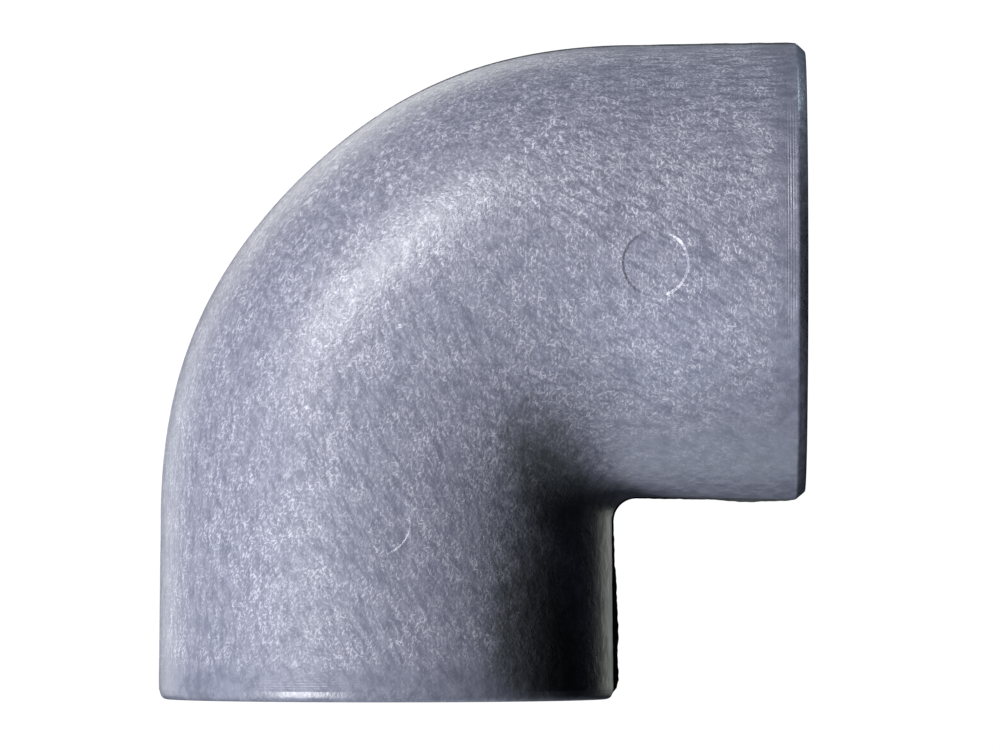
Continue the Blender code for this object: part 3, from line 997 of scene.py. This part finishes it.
def resin_and_painted_shade(nodes, place):
    """Painted shade in a dark resin colour: along the parting line's flash at the outline, and in
    the inner corner, which is partly resin-rich.
    """
    parts = nodes.parts(place)
    from_seam = nodes.math("ABSOLUTE", parts["Y"])
    # Painted shade along the parting line, stronger towards the side leg.
    thick = nodes.ramp(parts["X"], centre.x - 0.002, centre.x + 0.010, *FLASH_PAINTED_SHADE)
    share = nodes.product(nodes.ramp(from_seam, *FLASH_SHADE_HALF_WIDTHS, 1.0, 0.0), thick)
    # Painted shade in the inner corner, partly a resin-rich weld line.
    for middle_xz, reach, lean, strength in WELD_AND_SHADE_PATCHES:
        patch = oval(nodes, place, middle_xz, reach, lean, WELD_CORE)
        share = nodes.math("MAXIMUM", share, nodes.product(patch, strength))
    return share


def glass_filled_material():
    """Blue grey nylon with pale glass fibres just under its skin."""
    material, nodes, shader = new_material("glass_filled_nylon", IOR=NYLON_IOR)
    given = nodes.add("ShaderNodeTexCoord").outputs
    place, normal = given["Object"], given["Normal"]
    turn = melt_turn(nodes, place)
    strokes = fibres(nodes, place, normal, melt_flow(nodes, turn))
    # The noises are slanted, so that their grid doesn't line up with the legs.
    slanted = nodes.turned(place, (0.36, 0.48, 0.80), 0.9)
    speckle = nodes.noise(slanted, SPECKLE_SCALE, 1.0)
    mottle = nodes.ramp(nodes.noise(slanted, MOTTLE_SCALE, 3.0, 0.6), 0.3, 0.7)
    clumps = nodes.ramp(nodes.noise(slanted, CLUMP_SCALE, 2.0, 0.6), 0.34, 0.64, 0.45, 1.0)
    bands = streaks(nodes, place, turn)
    shown = clear_skin(nodes, place)
    bold = boldness(nodes, place)

    fleck = nodes.math("MAXIMUM", strokes, nodes.ramp(speckle, 0.52, 0.80, 0.0, 0.9))
    fleck = nodes.product(fleck, clumps, shown, bands, bold)
    base = nodes.mix(mottle, NYLON_DARK, NYLON_LIGHT)
    banded = nodes.mix(bands, STREAK_DARK, STREAK_LIGHT)
    base = nodes.mix(nodes.product(shown, bold, STREAK_SHARE), base, banded)
    colour = nodes.mix(nodes.product(fleck, FIBRE_SHARE), base, FIBRE_COLOUR)
    # Painted light: the side leg made paler in a patch, brightening what the lamps leave too dark.
    painted_light = oval(nodes, place, PAINTED_LIGHT_PATCH, PAINTED_LIGHT_REACH, 0, 0.0)
    colour = nodes.mix(painted_light, colour, PAINTED_LIGHT_TINT, "MULTIPLY")
    # Painted shade along the parting line and in the inner corner, in a dark resin colour.
    colour = nodes.mix(resin_and_painted_shade(nodes, place), colour, RESIN_AND_SHADE_COLOUR)
    rough = nodes.ramp(mottle, 0.3, 0.7, *NYLON_ROUGHNESS)
    height = nodes.math("ADD", nodes.product(speckle, shown), nodes.product(mottle, 0.8))
    finish_shader(nodes, shader, colour, rough, nodes.bump(height, NYLON_BUMP))
    return material


def moulded_material(name, dark, light, roughness):
    """Plain moulded plastic with a fine spark eroded grain."""
    material, nodes, shader = new_material(name)
    place = nodes.add("ShaderNodeTexCoord").outputs["Object"]
    cloud = nodes.noise(place, 500.0, 4.0, 0.6)
    grain = nodes.noise(place, PLASTIC_GRAIN, 3.0, 0.6)
    colour = nodes.mix(cloud, (*dark, 1), (*light, 1))
    rough = nodes.ramp(grain, 0.25, 0.75, roughness - 0.07, roughness + 0.08)
    finish_shader(nodes, shader, colour, rough, nodes.bump(grain, PLASTIC_BUMP))
    return material


def rubber_material():
    """Black seal rubber with a thin, uneven film of grease."""
    material, nodes, shader = new_material("greased_rubber")
    place = nodes.add("ShaderNodeTexCoord").outputs["Object"]
    film = nodes.noise(place, 700.0, 3.0, 0.6)
    fine = nodes.noise(place, 6000.0, 2.0)
    colour = nodes.mix(film, RUBBER_DARK, RUBBER_LIGHT)
    rough = nodes.ramp(film, 0.35, 0.65, 0.22, 0.55)
    finish_shader(nodes, shader, colour, rough, nodes.bump(fine, FINE_BUMP))
    return material


def metal_material(port_name, matrix, name, dark, light, roughness, radial_scale, round_scale):
    """Metal with marks that run round the port's axis."""
    material, nodes, shader = new_material(port_name + name, Metallic=1.0)
    place = nodes.add("ShaderNodeTexCoord").outputs["Object"]
    from_rim = nodes.vector("SUBTRACT", place, tuple(matrix.translation))
    local = nodes.add("ShaderNodeVectorRotate", {"Vector": from_rim}, rotation_type="EULER_XYZ")
    local.inputs["Rotation"].default_value = tuple(matrix.inverted().to_euler())
    parts = nodes.parts(local.outputs["Vector"])
    radius = nodes.vector("LENGTH", nodes.joined(X=parts["X"], Y=parts["Y"]))
    angle = nodes.math("ARCTAN2", parts["Y"], parts["X"])
    marks_at = nodes.joined(
        X=nodes.product(radius, radial_scale),
        Y=nodes.product(angle, round_scale),
        Z=nodes.product(parts["Z"], radial_scale),
    )
    marks = nodes.noise(marks_at, 1.0, 3.0, 0.6)
    stain = nodes.noise(place, 380.0, 3.0, 0.6)
    colour = nodes.mix(stain, (*dark, 1), (*light, 1))
    rough = nodes.ramp(marks, 0.25, 0.75, roughness - 0.07, roughness + 0.12)
    finish_shader(nodes, shader, colour, rough, nodes.bump(marks, FINE_BUMP))
    return material


# ---- Assembly ----------------------------------------------------------------------------

def dress(piece, material, node):
    piece.data.materials.clear()
    piece.data.materials.append(material)
    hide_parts(node)


def make_cartridge(name, port, materials):
    matrix = port["matrix"]
    steel = metal_material(name, matrix, *STEEL)
    brass = metal_material(name, matrix, *BRASS)
    housing, collar = "housing", name + "_collar"
    turned = (
        ("inner_seal", o_ring_outline(INNER_SEAL_DEPTH), materials["rubber"], "rubber", housing),
        ("seal_spacer", softened(SPACER_PROFILE), materials["spacer"], "spacer", housing),
        ("outer_seal", o_ring_outline(OUTER_SEAL_DEPTH), materials["rubber"], "rubber", housing),
        ("seal_protector", softened(PROTECTOR_PROFILE), materials["spacer"], "spacer", housing),
        ("grip_seat", softened(SEAT_PROFILE), brass, "brass", housing),
        ("retaining_cap", softened(CAP_PROFILE), materials["cap"], "cap", housing),
        ("release_collar", softened(COLLAR_PROFILE), materials["collar"], "collar", collar),
        ("dust_wiper", softened(WIPER_PROFILE), materials["rubber"], "rubber", collar),
    )
    for part, outline, material, slot, body in turned:
        node = f"{name}_{part}"
        piece = add_piece(node + "_look", turned_mesh(node + "_look", outline), matrix)
        dress(piece, material, node)
        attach(piece, body)
    clip = circlip(name + "_cap_circlip_look", matrix)
    dress(clip, steel, name + "_cap_circlip")
    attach(clip, housing)
    ring = grab_ring(name + "_grab_ring_look", matrix)
    dress(ring, steel, name + "_grab_ring")
    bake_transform(ring)


def make_object():
    materials = {use: moulded_material(*plastic) for use, plastic in PLASTICS.items()}
    materials["rubber"] = rubber_material()
    body = make_body()
    dress(body, glass_filled_material(), "elbow_body")
    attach(body, "housing")
    for name, port in ports.items():
        make_cartridge(name, port, materials)


# ---- Stage ---------------------------------------------------------------------------------

def make_floor():
    """White acrylic sheet. Seen edge-on it shows only the white behind it."""
    mesh = bpy.data.meshes.new("floor")
    corners = ((-1, -1), (1, -1), (1, 1), (-1, 1))
    points = [(x * FLOOR_REACH, y * FLOOR_REACH, 0) for x, y in corners]
    mesh.from_pydata(points, [], [(0, 1, 2, 3)])
    floor = add_piece("floor", mesh)
    material, nodes, shader = new_material(
        "white_floor", Base_Color=FLOOR_COLOUR, Roughness=FLOOR_ROUGHNESS
    )
    white = nodes.add("ShaderNodeEmission", {"Color": (1, 1, 1, 1), "Strength": BACKDROP_STRENGTH})
    grazing = nodes.add("ShaderNodeLayerWeight", {"Blend": 0.5}).outputs["Facing"]
    mixed = nodes.add("ShaderNodeMixShader")
    nodes.put(mixed.inputs[0], nodes.ramp(grazing, *FLOOR_GRAZING))
    nodes.put(mixed.inputs[1], shader.outputs["BSDF"])
    nodes.put(mixed.inputs[2], white.outputs["Emission"])
    nodes.put(material.node_tree.nodes["Material Output"].inputs["Surface"], mixed.outputs[0])
    mesh.materials.append(material)
    floor.visible_shadow = False
    floor.visible_diffuse = False
    floor.visible_glossy = False


def make_world():
    world = bpy.data.worlds.new("studio")
    bpy.context.scene.world = world
    world.use_nodes = True
    nodes = Nodes(world.node_tree)
    background = world.node_tree.nodes["Background"]
    seen = nodes.add("ShaderNodeLightPath").outputs["Is Camera Ray"]
    strength = nodes.ramp(seen, 0.0, 1.0, WORLD_STRENGTH, BACKDROP_STRENGTH, smooth=False)
    nodes.put(background.inputs["Color"], (1, 1, 1, 1))
    nodes.put(background.inputs["Strength"], strength)


def add_softbox(name, azimuth, elevation, half_angles, roll, power, colour):
    """A rectangular light that faces the object."""
    light = bpy.data.lights.new(name, "AREA")
    light.shape = "RECTANGLE"
    light.size, light.size_y = (
        2 * LIGHT_DISTANCE * math.tan(math.radians(half_angle)) for half_angle in half_angles
    )
    light.energy = power
    light.color = colour
    lamp = bpy.data.objects.new(name, light)
    bpy.context.scene.collection.objects.link(lamp)
    turn, lift = math.radians(azimuth), math.radians(elevation)
    towards = Vector(
        (math.sin(turn) * math.cos(lift), -math.cos(turn) * math.cos(lift), math.sin(lift))
    )
    facing = towards.to_track_quat("Z", "Y") @ Quaternion((0, 0, 1), math.radians(roll))
    lamp.location = Vector((0, 0, LIGHT_AIM_HEIGHT)) + towards * LIGHT_DISTANCE
    lamp.rotation_euler = facing.to_euler()
    lamp.visible_camera = False


def make_lights():
    for softbox in SOFTBOXES:
        add_softbox(*softbox)


def make_camera():
    camera = bpy.data.cameras.new("camera")
    camera.sensor_width = CAMERA_SENSOR
    camera.lens = CAMERA_LENS
    camera.clip_start = 0.01
    camera.clip_end = 20.0
    holder = bpy.data.objects.new("camera", camera)
    bpy.context.scene.collection.objects.link(holder)
    holder.location = (centre.x + CAMERA_AIM[0], -CAMERA_DISTANCE, centre.z + CAMERA_AIM[1])
    holder.rotation_euler = (math.radians(90), 0, 0)
    bpy.context.scene.camera = holder


def make_stage():
    make_floor()
    make_world()
    make_lights()
    make_camera()
    bpy.context.scene.view_settings.view_transform = "Standard"


make_object()
make_stage()

bpy.context.view_layer.update()
